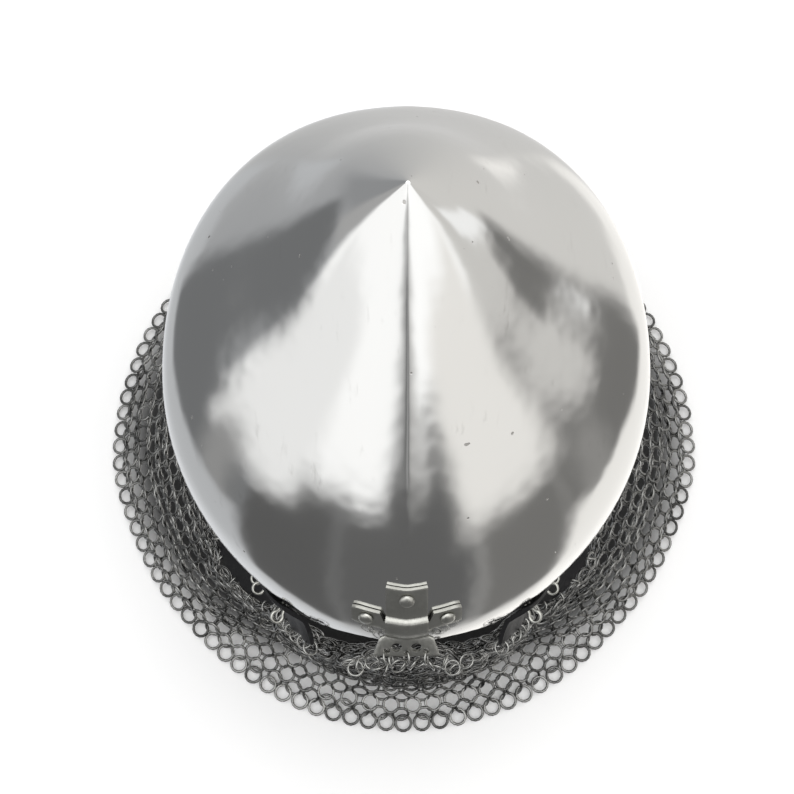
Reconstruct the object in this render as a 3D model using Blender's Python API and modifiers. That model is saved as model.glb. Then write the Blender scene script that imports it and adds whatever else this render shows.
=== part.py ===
"""A bascinet with a brow nasal and a mail aventail.

Metres, +Z up. The face looks along -Y and +X is the wearer's left.
The origin is the seat inside the crown, where the head bears.
"""
import math

import bmesh
import bpy
import numpy as np
from mathutils import Matrix, Vector

# The bowl: one raised plate with a ridge over the middle, measured over its outside
bowl_height = 0.260
bowl_half_width = 0.103
apex_to_front = 0.148
apex_to_back = 0.090
apex_behind_seat = 0.029
crown_above_seat = 0.050
plate_thickness = 0.0020
front_ridge = 0.12
back_ridge = 0.04
front_fullness = 1.98
back_fullness = 2.27

# The face opening is a rounded arch with rounded jaw corners
opening_half_width = 0.060
opening_height = 0.128
opening_fullness = 2.6
opening_wall_reach = 0.060
opening_middle = -0.095
jaw_corner_radius = 0.014

# The nasal: a bracket across the ridge, and a plate over it that ends in a flared lip
bracket_half_width = 0.023
bracket_base = 0.0145
bracket_top = 0.0265
bracket_thickness = 0.0016
nasal_thickness = 0.0016
nasal_half_width = 0.0088
nasal_top = 0.038
nasal_crease = 0.021
nasal_crease_rise = 0.0008
nasal_step = 0.0135
nasal_foot = 0.0080
lip_length = 0.0105
lip_slope = math.radians(60)
lip_half_width = 0.0128
lip_hole_radius = 0.0013
lip_hole_spacing = 0.0080
outer_hole_rise = 0.001
drill_length = 0.014
eye_hole_radius = 0.0022
eye_hole_spacing = 0.0080
rivet_head_radius = 0.0031
rivet_head_height = 0.0016
rivet_shank_radius = 0.0015
side_rivet_reach = 0.017
side_rivet_height = 0.0175
centre_rivet_height = 0.031
clench_thickness = 0.0012
ridge_hollow = 0.0014
side_hollow = 0.0006

# The leather band that carries the mail, and the staples that hold it
leather_thickness = 0.0020
leather_lap = 0.012
leather_reach = 0.010
leather_stand = 0.007
jaw_flare = 0.008
jaw_flare_half_length = 0.030
leather_front_start = 0.042
staple_wire = 0.0014
staple_eye_radius = 0.0025
staple_inset = 0.006
staple_leg_inside = 0.0016
first_staple = 0.006
staple_pitch = 0.043

# The mail, as the sheet that its links hang in
mail_thickness = 0.0025
hem_below_seat = 0.300
hem_half_width = 0.155
hem_half_length = 0.150
hem_centre = 0.020
face_edge_dip = 0.018
mail_tuck = 0.019
mail_lead = 0.004
lip_flattening = 0.8
front_profile_end = math.radians(15)
side_profile_start = math.radians(60)

# Room between touching pieces
clearance = 0.0003
leather_clearance = 0.0007
mail_gap = 0.0008

# Fineness of the curved surfaces
bowl_columns = 56
bowl_rows = 16
leather_step = 0.010
neck_stride = 2
staple_bend = 56

rim_height = crown_above_seat - bowl_height

# Bowl sections: drop below the apex, half width, reach to the front and reach to the back,
# as shares of the bowl's height, half width, apex to front and apex to back
bowl_sections = [
    # drop, width, front, back
    (0.00, 0.000, 0.000, 0.000),
    (0.03, 0.121, 0.098, 0.111),
    (0.10, 0.320, 0.304, 0.322),
    (0.20, 0.544, 0.543, 0.511),
    (0.34, 0.883, 0.830, 0.772),
    (0.50, 0.990, 1.000, 0.917),
    (0.72, 0.932, 0.957, 1.000),
    (1.00, 0.864, 0.870, 0.900),
]

# Mail hem: turn from the front in degrees, and reach as a share of the plain oval
hem_folds = [(0, 1.000), (25, 0.990), (50, 0.970), (72, 0.985), (86, 1.012), (115, 1.008), (180, 1.000)]

# Mail profile from the top edge to the hem, before the face and at the sides and back: how far down
# and how far out each row lies, as shares, and how far it is drawn in under the nasal
mail_profile = [
    # front down, front out, front tuck, side down, side out
    (0.00, 0.00, 0.00, 0.00, 0.00),
    (0.14, 0.05, 0.44, 0.12, 0.09),
    (0.30, 0.15, 0.79, 0.26, 0.20),
    (0.48, 0.25, 0.90, 0.40, 0.33),
    (0.66, 0.40, 0.95, 0.55, 0.47),
    (0.82, 0.50, 1.00, 0.69, 0.61),
    (0.92, 0.60, 0.98, 0.82, 0.75),
    (0.97, 0.80, 0.53, 0.92, 0.88),
    (1.00, 1.00, 0.00, 1.00, 1.00),
]


def clear_scene():
    """Start from an empty file."""
    for item in list(bpy.data.objects):
        bpy.data.objects.remove(item, do_unlink=True)


def smooth_curve(stations, values):
    """A curve through the values with no break in its bend, level in bend at both ends."""
    stations, values = np.array(stations, float), np.array(values, float)
    steps = np.diff(stations)
    slopes = np.diff(values) / steps
    count = len(stations)
    system, target = np.eye(count), np.zeros(count)
    for i in range(1, count - 1):
        system[i, i - 1:i + 2] = steps[i - 1], 2 * (steps[i - 1] + steps[i]), steps[i]
        target[i] = 6 * (slopes[i] - slopes[i - 1])
    bends = np.linalg.solve(system, target)

    def at(place):
        place = min(max(place, stations[0]), stations[-1])
        i = min(int(np.searchsorted(stations, place, side="right")) - 1, count - 2)
        before, after = stations[i + 1] - place, place - stations[i]
        arch = bends[i] * before ** 3 + bends[i + 1] * after ** 3
        start = (values[i] / steps[i] - bends[i] * steps[i] / 6) * before
        end = (values[i + 1] / steps[i] - bends[i + 1] * steps[i] / 6) * after
        return float(arch / (6 * steps[i]) + start + end)

    return at


drops, widths, fronts, backs = zip(*bowl_sections)
width_at = smooth_curve(drops, widths)
front_at = smooth_curve(drops, fronts)
back_at = smooth_curve(drops, backs)


def bowl_point(turn, height):
    """The bowl's outside at a height above the rim, turned from the front (0) to the back (pi)."""
    drop = 1 - height / bowl_height
    half_width = bowl_half_width * width_at(drop)
    front = apex_behind_seat - apex_to_front * front_at(drop)
    back = apex_behind_seat + apex_to_back * back_at(drop)
    middle, half_length = (front + back) / 2, (back - front) / 2
    forward, sideways = math.cos(turn), abs(math.sin(turn))
    share = (1 + forward) / 2
    power = 2 / (back_fullness + (front_fullness - back_fullness) * share)
    ridge = back_ridge + (front_ridge - back_ridge) * share
    reach = (1 - ridge) * abs(forward) ** power + ridge * (1 - sideways)
    x = half_width * sideways ** power * math.copysign(1, math.sin(turn))
    y = middle - half_length * math.copysign(reach, forward)
    return Vector((x, y, rim_height + height))


def bowl_normal(turn, height):
    """The outward direction of the bowl's outside."""
    small_turn, small_rise = 0.01, 0.001
    along = bowl_point(turn + small_turn, height) - bowl_point(turn - small_turn, height)
    up = bowl_point(turn, height + small_rise) - bowl_point(turn, height - small_rise)
    return along.cross(up).normalized()


def turn_at(x, height):
    """The turn at which the front half of the bowl reaches x at a height."""
    low, high = 0.0, math.pi / 2
    for _ in range(40):
        middle = (low + high) / 2
        if bowl_point(middle, height).x < abs(x):
            low = middle
        else:
            high = middle
    return math.copysign(low, x)


def front_point(x, height, stand_off):
    """A point in front of the bowl at x, standing off its outside along its normal."""
    turn = turn_at(x, height)
    return bowl_point(turn, height) + bowl_normal(turn, height) * stand_off


parts = bpy.data.collections.new("bascinet")
cutters = bpy.data.collections.new("cutters")


def new_material(name, colour, roughness, metallic):
    """A plain Principled finish."""
    material = bpy.data.materials.new(name)
    material.use_nodes = True
    shader = material.node_tree.nodes["Principled BSDF"]
    shader.inputs["Base Color"].default_value = (*colour, 1)
    shader.inputs["Roughness"].default_value = roughness
    shader.inputs["Metallic"].default_value = metallic
    material.diffuse_color = (*colour, 1)
    return material


def place(name, mesh, material):
    """Put a mesh among the parts."""
    made = bpy.data.objects.new(name, mesh)
    parts.objects.link(made)
    mesh.materials.clear()
    mesh.materials.append(material)
    return made


def place_cutter(name, mesh):
    """Put a mesh among the cutters, which are drawn as wires and never as parts."""
    made = bpy.data.objects.new(name, mesh)
    cutters.objects.link(made)
    made.hide_render = True
    made.display_type = "WIRE"
    return made


def shade(mesh, angle=35):
    """Smooth shading, with edges past the angle kept sharp."""
    mesh.shade_smooth()
    mesh.set_sharp_from_angle(angle=math.radians(angle))


def loft(name, rows, closed, pole=None):
    """A surface through rows of points, closed round each row or open, with an optional pole first."""
    form = bmesh.new()
    lines = [[form.verts.new(point) for point in row] for row in rows]
    count = len(lines[0])
    last = count if closed else count - 1
    if pole is not None:
        top = form.verts.new(pole)
        for i in range(last):
            form.faces.new((top, lines[0][i], lines[0][(i + 1) % count]))
    for upper, lower in zip(lines, lines[1:]):
        for i in range(last):
            after = (i + 1) % count
            form.faces.new((upper[i], lower[i], lower[after], upper[after]))
    bmesh.ops.recalc_face_normals(form, faces=form.faces)
    mesh = bpy.data.meshes.new(name)
    form.to_mesh(mesh)
    form.free()
    return mesh


def thicken(item, thickness, offset):
    """Give an open surface its wall."""
    wall = item.modifiers.new("wall", "SOLIDIFY")
    wall.thickness = thickness
    wall.offset = offset
    wall.use_even_offset = True
    return wall


def cut(item, cutter):
    """Take a cutter's shape out of a part."""
    cutting = item.modifiers.new("cut " + cutter.name, "BOOLEAN")
    cutting.operation = "DIFFERENCE"
    cutting.object = cutter


def frame_on(point, outward, along=Vector((0, 0, 1))):
    """A placement whose Z looks outward and whose Y leans along a direction."""
    z = outward.normalized()
    x = along.cross(z).normalized()
    y = z.cross(x)
    turned = Matrix((x, y, z)).transposed().to_4x4()
    return Matrix.Translation(point) @ turned


def drills(name, placements, radius, depth, sides=10):
    """Round cutters along the Z of each placement."""
    form = bmesh.new()
    for placement in placements:
        bmesh.ops.create_cone(form, cap_ends=True, segments=sides, radius1=radius, radius2=radius,
                              depth=depth, matrix=placement)
    mesh = bpy.data.meshes.new(name)
    form.to_mesh(mesh)
    form.free()
    return place_cutter(name, mesh)


def opening_outline():
    """Half of the face opening seen from the front, as x and height, from the brow to the jaw corner."""
    power = 2 / opening_fullness
    points = []
    for angle in np.linspace(0, math.pi / 2, 25):
        height = opening_height * math.cos(angle) ** power
        if height > jaw_corner_radius:
            points.append((opening_half_width * math.sin(angle) ** power, height))
    for angle in np.linspace(0, math.pi / 2, 6):
        reach = opening_half_width + jaw_corner_radius * (1 - math.cos(angle))
        points.append((reach, jaw_corner_radius * (1 - math.sin(angle))))
    return points


def opening_cutter():
    """The face opening as a flat outline, deep enough to pass the front wall alone."""
    half = opening_outline()
    below = -jaw_corner_radius
    right = half + [(half[-1][0], below)]
    left = [(-x, height) for x, height in reversed(right)]
    outline = right + left[:-1]
    curve = bpy.data.curves.new("opening_outline", "CURVE")
    curve.dimensions = "2D"
    curve.fill_mode = "BOTH"
    curve.extrude = opening_wall_reach
    spline = curve.splines.new("POLY")
    spline.points.add(len(outline) - 1)
    for point, (x, height) in zip(spline.points, outline):
        point.co = (x, height, 0, 1)
    spline.use_cyclic_u = True
    drawn = bpy.data.objects.new("opening_outline", curve)
    parts.objects.link(drawn)
    bpy.context.view_layer.update()
    mesh = bpy.data.meshes.new_from_object(drawn.evaluated_get(bpy.context.evaluated_depsgraph_get()))
    bpy.data.objects.remove(drawn, do_unlink=True)
    form = bmesh.new()
    form.from_mesh(mesh)
    bmesh.ops.remove_doubles(form, verts=form.verts, dist=0.00001)
    bmesh.ops.recalc_face_normals(form, faces=form.faces)
    form.to_mesh(mesh)
    form.free()
    cutter = place_cutter("opening_cutter", mesh)
    cutter.location = (0, opening_middle, rim_height)
    cutter.rotation_euler = (math.pi / 2, 0, 0)
    return cutter


def build_bowl():
    """The bowl, open at the neck and the face."""
    turns = [2 * math.pi * i / bowl_columns for i in range(bowl_columns)]
    rows = []
    for i in range(1, bowl_rows + 1):
        height = bowl_height * (1 - (i / bowl_rows) ** 1.25)
        rows.append([bowl_point(turn, height) for turn in turns])
    apex = Vector((0, apex_behind_seat, crown_above_seat))
    mesh = loft("bowl", rows, closed=True, pole=apex)
    shade(mesh)
    bowl = place("bowl", mesh, steel)
    thicken(bowl, plate_thickness, -1)
    cut(bowl, opening_cutter())
    return bowl


def rivet_placements():
    """The three rivets that hold the nasal: both sides of the bracket, then the ridge."""
    placements = []
    for x, height in ((-side_rivet_reach, side_rivet_height), (side_rivet_reach, side_rivet_height),
                      (0.0, centre_rivet_height)):
        height += opening_height
        turn = turn_at(x, height) if x else 0.0
        placements.append((bowl_point(turn, height), bowl_normal(turn, height)))
    return placements


def plate_stations():
    """The nasal plate from top to lip: a point on the ridge line and the half width there."""
    over_bracket = 2 * clearance + bracket_thickness + nasal_thickness / 2
    on_bowl = clearance + nasal_thickness / 2
    stations = []
    for share in (0.0, 0.2, 0.4, 0.6, 0.8, 1.0):
        height = nasal_top + (nasal_crease - nasal_top) * share
        stations.append((height, over_bracket + nasal_crease_rise * share ** 3, nasal_half_width))
    between = (nasal_crease + nasal_step) / 2
    stations.append((between, over_bracket + nasal_crease_rise / 2, nasal_half_width))
    stations.append((nasal_step, over_bracket, nasal_half_width))
    stations.append((nasal_foot, on_bowl, nasal_half_width))
    return stations


def build_nasal():
    """The nasal plate: a tongue over the bracket, a step down to the bowl and a flared lip."""
    across = [-1.0, -0.66, -0.33, 0.0, 0.33, 0.66, 1.0]
    rows = []
    for height, stand, half_width in plate_stations():
        rows.append([front_point(side * half_width, opening_height + height, stand) for side in across])
    foot = rows[-1]
    for share in (0.25, 0.5, 0.75, 1.0):
        out = lip_length * share * math.cos(lip_slope)
        down = lip_length * share * math.sin(lip_slope)
        spread = 1 + (lip_half_width / nasal_half_width - 1) * share
        row = []
        for p in foot:
            bow = (foot[3].y - p.y) * lip_flattening * share
            row.append(Vector((p.x * spread, p.y + bow - out, p.z - down)))
        rows.append(row)
    mesh = loft("nasal_plate", rows, closed=False)
    shade(mesh, 50)
    nasal = place("nasal_plate", mesh, steel)
    thicken(nasal, nasal_thickness, 0)
    lip_row = rows[-2]
    eye_row = rows[-4]
    outward = Vector((0, -math.sin(lip_slope), math.cos(lip_slope)))
    middle = lip_row[3]
    low, high = [], []
    for i in (-1, 0, 1):
        across_lip = Vector((lip_hole_spacing * i, abs(i) * outer_hole_rise, 0))
        low.append(frame_on(middle + across_lip, outward))
    for i in (-0.5, 0.5):
        high.append(frame_on(eye_row[3] + Vector((eye_hole_spacing * i, 0, 0)), outward))
    cut(nasal, drills("lip_holes", low, lip_hole_radius, drill_length))
    cut(nasal, drills("eye_holes", high, eye_hole_radius, drill_length, 12))
    point, normal = rivet_placements()[2]
    hole = rivet_shank_radius + clearance
    cut(nasal, drills("tongue_hole", [frame_on(point, normal)], hole, drill_length))
    return nasal, rows[-1]


def build_bracket():
    """The strip across the ridge under the tongue, with clipped corners."""
    across = [-1.0, -0.82, -0.6, -0.3, 0.0, 0.3, 0.6, 0.82, 1.0]
    stand = clearance + bracket_thickness / 2
    middle = (bracket_base + bracket_top) / 2
    half = (bracket_top - bracket_base) / 2
    rows = []
    for rise in (-1.0, 0.0, 1.0):
        row = []
        for side in across:
            clip = 0.72 if abs(side) == 1.0 else 1.0
            height = opening_height + middle + half * rise * clip
            row.append(front_point(side * bracket_half_width, height, stand))
        rows.append(row)
    mesh = loft("nasal_bracket", rows, closed=False)
    shade(mesh, 50)
    bracket = place("nasal_bracket", mesh, steel)
    thicken(bracket, bracket_thickness, 0)
    hole = rivet_shank_radius + clearance
    placements = [frame_on(point, normal) for point, normal in rivet_placements()[:2]]
    cut(bracket, drills("bracket_holes", placements, hole, drill_length))
    return bracket


def build_rivet(name, point, normal, stack, hollow):
    """A domed rivet turned as a profile and clenched inside the bowl.

    The stack is what it clamps outside. The hollow is how far the inside falls away
    round its shank.
    """
    base = stack + clearance
    inside = -plate_thickness - clearance - hollow
    profile = [(0.0, base + rivet_head_height)]
    for angle in (30, 60):
        out = math.sin(math.radians(angle))
        up = math.cos(math.radians(angle))
        profile.append((rivet_head_radius * out, base + rivet_head_height * up))
    profile += [(rivet_head_radius, base), (rivet_shank_radius, base), (rivet_shank_radius, inside),
                (rivet_shank_radius * 1.6, inside), (rivet_shank_radius * 1.6, inside - clench_thickness),
                (0.0, inside - clench_thickness)]
    mesh = bpy.data.meshes.new(name)
    mesh.from_pydata([(r, 0, z) for r, z in profile], [(i, i + 1) for i in range(len(profile) - 1)], [])
    rivet = place(name, mesh, steel)
    turned = rivet.modifiers.new("turned", "SCREW")
    turned.steps = 12
    turned.render_steps = 12
    turned.use_merge_vertices = True
    turned.merge_threshold = 0.00001
    turned.use_smooth_shade = True
    rivet.matrix_world = frame_on(point, normal)
    return rivet


def edge_route():
    """The steel's edge from the start of the leather down to the jaw and round to the back, evenly spaced.

    Each entry is a turn and a height above the rim.
    """
    fine = []
    for x, height in opening_outline():
        if x >= leather_front_start:
            fine.append((turn_at(x, height), height))
    start = fine[-1][0]
    for share in np.linspace(0, 1, 60)[1:]:
        fine.append((start + (math.pi - start) * share, 0.0))
    places = [bowl_point(turn, height) for turn, height in fine]
    runs = [0.0]
    for before, after in zip(places, places[1:]):
        runs.append(runs[-1] + (after - before).length)
    count = round(runs[-1] / leather_step)
    even = np.linspace(0, runs[-1], count + 1)
    turns = np.interp(even, runs, [turn for turn, _ in fine])
    heights = np.interp(even, runs, [height for _, height in fine])
    return list(zip(turns, heights)), runs[-1]


def leather_section(route, i):
    """The edge point, its outward normal and the way off the steel, at one entry of the route."""
    turn, height = route[i]
    point = bowl_point(turn, height)
    before = bowl_point(*route[max(i - 1, 0)])
    after = bowl_point(*route[min(i + 1, len(route) - 1)])
    if i == len(route) - 1:
        after = Vector((-before.x, before.y, before.z))
    along = (after - before).normalized()
    normal = bowl_normal(turn, max(height, 0.0015))
    off = along.cross(normal).normalized()
    return point, normal, off


def free_edge(route, i):
    """The middle of the leather's free edge at one entry, and the way that the leather points there."""
    point, normal, off = leather_section(route, i)
    jaw = next(k for k, (_, height) in enumerate(route) if height == 0)
    away = min(abs(i - jaw) * leather_step / jaw_flare_half_length, 1.0)
    flare = jaw_flare * math.cos(math.pi / 2 * away) ** 2
    reach = off * (leather_reach + flare) + normal * (leather_stand + flare)
    return point + normal * (leather_clearance + leather_thickness / 2) + reach, reach.normalized()


def mirrored(points):
    """The same points on the other side, in reverse, without the middle one twice."""
    return [Vector((-p.x, p.y, p.z)) for p in reversed(points[:-1])]


def leather_lines(route):
    """The leather's lines from lap to free edge, each from one front end round the back to the other."""
    middle = leather_clearance + leather_thickness / 2
    lines = [[], [], [], []]
    for i in range(len(route)):
        point, normal, off = leather_section(route, i)
        base = point + normal * middle
        lines[0].append(base - off * leather_lap)
        lines[1].append(base - off * leather_lap * 0.5)
        lines[2].append(base)
        lines[3].append(free_edge(route, i)[0])
    return [line + mirrored(line) for line in lines]


def staple_placements(route, length):
    """Where the staples stand, on both sides, as a point on the steel and its outward normal."""
    pitches = int(length / staple_pitch)
    count = len(route)
    places = []
    for k in range(pitches + 1):
        i = min(round((first_staple + k * staple_pitch) / leather_step), count - 1)
        point, normal, off = leather_section(route, i)
        places.append((point - off * staple_inset, normal, off))
    return places


def wire(name, points, diameter, resolution, material):
    """A round wire through points, with closed ends."""
    curve = bpy.data.curves.new(name, "CURVE")
    curve.dimensions = "3D"
    curve.bevel_depth = diameter / 2
    curve.bevel_resolution = resolution
    curve.use_fill_caps = True
    spline = curve.splines.new("POLY")
    spline.points.add(len(points) - 1)
    for point, place_at in zip(spline.points, points):
        point.co = (*place_at, 1)
    made = bpy.data.objects.new(name, curve)
    parts.objects.link(made)
    curve.materials.append(material)
    return made


def build_staple(name, point, normal, off):
    """A wire eye whose two legs pass through the leather and the bowl and lie apart inside."""
    leg = staple_wire / 2 + clearance
    inside = -plate_thickness - staple_leg_inside
    eye_height = leather_clearance + leather_thickness + staple_eye_radius + staple_wire
    across = normal.cross(off).normalized()
    points = [(leg, inside), (leg, leather_clearance + leather_thickness)]
    for angle in range(-50, 231, staple_bend):
        out = staple_eye_radius * math.cos(math.radians(angle))
        up = staple_eye_radius * math.sin(math.radians(angle))
        points.append((out, eye_height + up))
    points += [(-leg, leather_clearance + leather_thickness), (-leg, inside)]
    world = [point + off * out + normal * up for out, up in points]
    return wire(name, world, staple_wire, 1, steel)


def build_leather(route, holes):
    """The leather band from one side of the face round the neck to the other."""
    mesh = loft("leather_band", leather_lines(route), closed=False)
    shade(mesh, 50)
    band = place("leather_band", mesh, leather)
    thicken(band, leather_thickness, 0)
    cut(band, holes)
    return band


def mail_top(route, lip):
    """The mail's top edge on one side, from the nasal's middle along the leather to the back.

    Each entry is a point and the way that the mail leaves it.
    """
    leather_edge = []
    jaw_end = next(k for k, (_, height) in enumerate(route) if height == 0) + 1
    neck = list(range(jaw_end, len(route) - 1, neck_stride)) + [len(route) - 1]
    for i in list(range(jaw_end)) + neck:
        outer, way = free_edge(route, i)
        leather_edge.append((outer + way * mail_gap, way))
    lip_way = Vector((0, -math.cos(lip_slope), -math.sin(lip_slope)))
    down = Vector((0, 0, -1))
    first, first_way = leather_edge[0]
    edge = [(lip[len(lip) // 2] + lip_way * mail_gap, lip_way)]
    corner = lip[-1] + lip_way * mail_gap
    for share in np.linspace(0, 1, 6)[:-1]:
        under_eye = corner.lerp(first, share)
        under_eye.z -= face_edge_dip * math.sin(math.pi * share)
        edge.append((under_eye, (down + first_way * share + lip_way * (1 - share)).normalized()))
    return edge + leather_edge


def hem_radius(turn):
    """The hem's reach from its middle at a turn from the front."""
    degrees = math.degrees(turn)
    fold = np.interp(degrees, [row[0] for row in hem_folds], [row[1] for row in hem_folds])
    sideways, lengthways = math.sin(turn) / hem_half_width, math.cos(turn) / hem_half_length
    return float(fold) / math.hypot(sideways, lengthways)


def mail_column(edge, way):
    """One line of the mail from a point of its top edge out and down to the hem."""
    start = edge + way * mail_lead
    turn = math.atan2(start.x, hem_centre - start.y)
    radius = math.hypot(start.x, hem_centre - start.y)
    reach, drop = hem_radius(turn) - radius, -hem_below_seat - start.z
    side = (turn - front_profile_end) / (side_profile_start - front_profile_end)
    side = min(max(side, 0.0), 1.0)
    column = [edge]
    for front_down, front_out, tuck, side_down, side_out in mail_profile:
        down = front_down + (side_down - front_down) * side
        out = front_out + (side_out - front_out) * side
        place_out = radius + reach * out - mail_tuck * tuck * (1 - side)
        column.append(Vector((place_out * math.sin(turn), hem_centre - place_out * math.cos(turn),
                              start.z + drop * down)))
    return column


def build_mail(route, lip):
    """The mail's outer form: a curtain from the leather and the nasal, spreading to the hem."""
    columns = [mail_column(edge, way) for edge, way in mail_top(route, lip)]
    for column in reversed(columns[1:-1]):
        columns.append([Vector((-p.x, p.y, p.z)) for p in column])
    mesh = loft("aventail", list(zip(*columns)), closed=True)
    shade(mesh, 60)
    mail = place("aventail", mesh, mail_steel)
    thicken(mail, mail_thickness, 0)
    return mail


clear_scene()
bpy.context.scene.collection.children.link(parts)
bpy.context.scene.collection.children.link(cutters)
steel = new_material("polished_steel", (0.62, 0.62, 0.61), 0.12, 1.0)
mail_steel = new_material("mail_steel", (0.33, 0.33, 0.33), 0.35, 1.0)
leather = new_material("black_leather", (0.02, 0.02, 0.02), 0.55, 0.0)

bowl = build_bowl()
bracket = build_bracket()
nasal, lip = build_nasal()

rivets = rivet_placements()
under_side = clearance + bracket_thickness
under_centre = 2 * clearance + bracket_thickness + nasal_thickness
build_rivet("side_rivet_right", *rivets[0], under_side, side_hollow)
build_rivet("side_rivet_left", *rivets[1], under_side, side_hollow)
build_rivet("ridge_rivet", *rivets[2], under_centre, ridge_hollow)
shank_hole = rivet_shank_radius + clearance
rivet_frames = [frame_on(point, normal) for point, normal in rivets]
cut(bowl, drills("rivet_holes", rivet_frames, shank_hole, drill_length))

route, route_length = edge_route()
places = staple_placements(route, route_length)
all_places = []
for point, normal, off in places:
    all_places.append((point, normal, off))
    if abs(point.x) > 0.004:
        flip = Vector((-1, 1, 1))
        all_places.append((point * flip, normal * flip, off * flip))
staple_holes = drills("staple_holes", [frame_on(p, n, o) for p, n, o in all_places],
                      staple_wire + 2 * clearance, drill_length, 8)
cut(bowl, staple_holes)
build_leather(route, staple_holes)
for number, (point, normal, off) in enumerate(all_places, 1):
    build_staple(f"vervelle_{number:02d}", point, normal, off)
build_mail(route, lip)
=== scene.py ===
# %% [markdown]
# # A bascinet with a mail aventail
#
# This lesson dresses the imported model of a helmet: a tall steel bowl with a ridge over its
# middle, a riveted nasal at the brow, and a curtain of mail on a leather band round the neck.
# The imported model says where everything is. Each piece below is built round it, in metres.

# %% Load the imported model
import math

import bpy
import bmesh
import numpy as np
from mathutils import Matrix, Vector


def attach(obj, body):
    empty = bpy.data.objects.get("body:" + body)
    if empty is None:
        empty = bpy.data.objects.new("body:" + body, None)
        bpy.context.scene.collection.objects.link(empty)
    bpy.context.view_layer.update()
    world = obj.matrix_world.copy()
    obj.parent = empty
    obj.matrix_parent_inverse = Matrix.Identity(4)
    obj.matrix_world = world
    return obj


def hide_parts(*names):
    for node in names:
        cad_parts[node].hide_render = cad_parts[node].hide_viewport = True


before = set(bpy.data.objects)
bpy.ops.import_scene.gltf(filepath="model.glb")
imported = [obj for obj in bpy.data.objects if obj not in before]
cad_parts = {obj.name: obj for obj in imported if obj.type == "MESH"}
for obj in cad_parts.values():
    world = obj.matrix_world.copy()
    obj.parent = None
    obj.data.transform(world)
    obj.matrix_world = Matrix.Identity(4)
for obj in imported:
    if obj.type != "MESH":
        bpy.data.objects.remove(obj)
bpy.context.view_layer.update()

# %% [markdown]
# The helmet stands on its own mail, on a white table, seen from high in front. The camera is
# placed by the helmet's plan: the apex, the brow and the hem fall where they do in the photo
# only at one height and one distance. It stands a little to the left, so that the ridge falls
# right of the middle and leans, and a small shift frames the whole.

# %% Camera
camera_elevation = math.radians(74)
camera_distance = 0.860
camera_target = Vector((0.0, -0.005, -0.110))
camera_drop = 0.00174
camera_left = 0.005
picture_width = 794
lens_in_pixels = 1969
picture_shift = 2.8

camera_data = bpy.data.cameras.new("camera")
camera_data.sensor_width = 36.0
camera_data.lens = 36.0 * lens_in_pixels / picture_width
camera_data.shift_x = picture_shift / picture_width
camera_data.clip_start = 0.05
camera_data.clip_end = 20.0
camera = bpy.data.objects.new("camera", camera_data)
backwards = Vector((0, -math.cos(camera_elevation), math.sin(camera_elevation)))
upwards = Vector((0, math.sin(camera_elevation), math.cos(camera_elevation)))
camera.location = camera_target + backwards * camera_distance - upwards * camera_drop
camera.location.x -= camera_left
camera.rotation_mode = "QUATERNION"
camera.rotation_quaternion = (-backwards).to_track_quat("-Z", "Y")
bpy.context.scene.collection.objects.link(camera)
bpy.context.scene.camera = camera
print("lens", round(camera_data.lens, 1), "mm")

# %% [markdown]
# Polished steel has no colour of its own to speak of: it shows the room. So the room is part
# of the finish, and it is painted into the world by direction: large soft panels to the left
# and right in front, a dark gap between them where the camera stands, a grey band under them
# and a pale table top below. Shader sums are easiest to read as Python, so the class below
# wraps a socket, and `1 - mask * 0.5` adds the Math nodes that it needs.

# %% Shader sums as Python
class Wire:
    """A node's output socket that can be added, multiplied and so on."""

    def __init__(self, board, socket):
        self.board, self.socket = board, socket

    def sum(self, operation, *values):
        return self.board.node("ShaderNodeMath", {"operation": operation}, dict(enumerate((self,) + values)))

    def __add__(self, other):
        return self.sum("ADD", other)

    def __sub__(self, other):
        return self.sum("SUBTRACT", other)

    def __mul__(self, other):
        return self.sum("MULTIPLY", other)

    def __rsub__(self, other):
        return self.board.node("ShaderNodeMath", {"operation": "SUBTRACT"}, {0: other, 1: self})

    __radd__ = __add__
    __rmul__ = __mul__

    def ramp(self, low, high):
        """0 at low and 1 at high, with a soft change between. Low may be the greater."""
        return self.board.node("ShaderNodeMapRange", {"interpolation_type": "SMOOTHSTEP"},
                               {0: self, "From Min": low, "From Max": high})


class Board:
    """A node tree that is filled from Python."""

    def __init__(self, tree):
        self.tree = tree

    def link(self, value, socket):
        if isinstance(value, Wire):
            self.tree.links.new(value.socket, socket)
        elif isinstance(value, tuple) and len(value) == 3 and socket.type == "RGBA":
            socket.default_value = (*value, 1)
        else:
            socket.default_value = value

    def node(self, kind, settings=None, sockets=None, output=0):
        """Any node: its settings first, then the values or wires of its sockets."""
        made = self.tree.nodes.new(kind)
        for name, value in (settings or {}).items():
            setattr(made, name, value)
        for name, value in (sockets or {}).items():
            self.link(value, made.inputs[name])
        return Wire(self, made.outputs[output])

    def mix(self, amount, first, second):
        """The first colour where the amount is 0, the second where it is 1."""
        made = self.tree.nodes.new("ShaderNodeMix")
        made.data_type = "RGBA"
        self.link(amount, made.inputs["Factor"])
        self.link(first, [s for s in made.inputs if s.name == "A" and s.type == "RGBA"][0])
        self.link(second, [s for s in made.inputs if s.name == "B" and s.type == "RGBA"][0])
        return Wire(self, [s for s in made.outputs if s.type == "RGBA"][0])


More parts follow.
